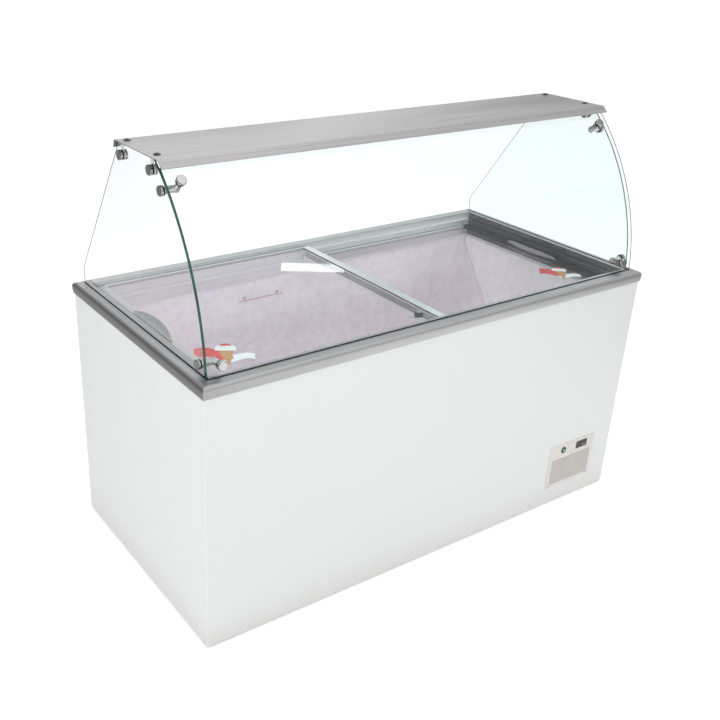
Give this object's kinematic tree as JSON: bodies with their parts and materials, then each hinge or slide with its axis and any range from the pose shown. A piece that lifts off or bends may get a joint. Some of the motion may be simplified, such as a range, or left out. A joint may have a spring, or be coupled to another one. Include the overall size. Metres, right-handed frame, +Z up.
{
  "type": "chest freezer",
  "caption": "Long insulated chest freezer with sliding glass lids on two levels, a curved glass canopy, a steel serving shelf and a control grille with louvres.",
  "frame": {"origin": "centre of the footprint, at floor level", "axes": "+X along the length to the right as seen from the front, +Y to the rear (the open service side), +Z up"},
  "size_m": [1.608, 0.808, 1.288],
  "materials": {
    "shell": "gloss white enamel",
    "galvanised": "galvanised",
    "foam": "foamed polyurethane",
    "liner": "embossed, light grey",
    "copper": "drawn copper",
    "black_plastic": "moulded",
    "grey_plastic": "moulded",
    "rim": "satin anodised",
    "track": "anodised",
    "gasket": "extruded",
    "lid_glass": "toughened, flat",
    "canopy_glass": "toughened, bent",
    "stainless": "brushed along its length",
    "clamp_metal": "turned steel",
    "dark_bolt": "blackened",
    "ivory_plastic": "moulded",
    "switch_dark": "moulded",
    "switch_green": "lit",
    "compressor_black": "black enamel",
    "condenser_metal": "plain",
    "fan_plastic": "moulded"
  },
  "bodies": {
    "cabinet": {"front_panel": "shell", "left_panel": "shell", "right_panel": "shell", "rear_panel": "shell", "base_plate": "galvanised", "levelling_feet": "black_plastic", "insulation": "foam", "inner_liner": "liner", "evaporator_tube": "copper", "drain_fitting": "grey_plastic", "rim_front": "rim", "rim_rear": "rim", "rim_left": "rim", "rim_right": "rim", "rim_corner_keys": "grey_plastic", "track_front": "track", "track_rear": "track", "track_left": "track", "track_right": "track", "front_glass_gasket": "gasket", "side_glass_gaskets": "gasket", "left_side_glass": "canopy_glass", "right_side_glass": "canopy_glass", "curved_front_glass": "canopy_glass", "top_shelf": "stainless", "shelf_bolts": "dark_bolt", "shelf_brackets": "clamp_metal", "clamp_discs": "clamp_metal", "clamp_washers": "gasket", "corner_connectors": "clamp_metal", "control_grille": "ivory_plastic", "grille_screws": "clamp_metal", "switch_body": "switch_dark", "temperature_display": "black_plastic", "bay_bulkhead": "galvanised", "rear_vent_grille": "galvanised", "cable_gland": "black_plastic", "compressor": "compressor_black", "compressor_grommets": "gasket", "relay_box": "black_plastic", "condenser": "condenser_metal", "fan_shroud": "condenser_metal", "fan_motor": "compressor_black"},
    "left_lid": {"left_lid_glass": "lid_glass", "left_lid_runners": "track", "left_lid_end_frame": "grey_plastic", "left_lid_grip": "grey_plastic", "left_lid_meeting_bar": "grey_plastic", "left_lid_seal": "gasket", "lid_lock_body": "black_plastic"},
    "right_lid": {"right_lid_glass": "lid_glass", "right_lid_runners": "track", "right_lid_end_frame": "grey_plastic", "right_lid_grip": "grey_plastic", "right_lid_meeting_bar": "grey_plastic", "right_lid_seal": "gasket"},
    "lock_barrel": {"lid_lock_cylinder": "clamp_metal"},
    "switch_rocker": {"power_rocker": "switch_green"},
    "fan_rotor": {"fan_blade": "fan_plastic"},
    "plug": {"drain_plug": "black_plastic"}
  },
  "joints": [
    {"name": "left_lid_slide", "type": "slide", "parent": "cabinet", "child": "left_lid", "axis": [1, 0, 0], "range_m": [0, 0.72]},
    {"name": "right_lid_slide", "type": "slide", "parent": "cabinet", "child": "right_lid", "axis": [1, 0, 0], "range_m": [-0.72, 0]},
    {"name": "lock_turn", "type": "hinge", "parent": "left_lid", "child": "lock_barrel", "pos_m": [-0.047, -0.294, 0.79], "axis": [0, 0, 1], "range_deg": [0, 90]},
    {"name": "rocker_tilt", "type": "hinge", "parent": "cabinet", "child": "switch_rocker", "pos_m": [0.565, -0.4, 0.202], "axis": [1, 0, 0], "range_deg": [-12, 0]},
    {"name": "fan_spin", "type": "hinge", "parent": "cabinet", "child": "fan_rotor", "pos_m": [0.61, -0.29, 0.145], "axis": [0, 1, 0], "continuous": true},
    {"name": "plug_lift", "type": "slide", "parent": "cabinet", "child": "plug", "axis": [0, 0, 1], "range_m": [0, 0.03]}
  ]
}
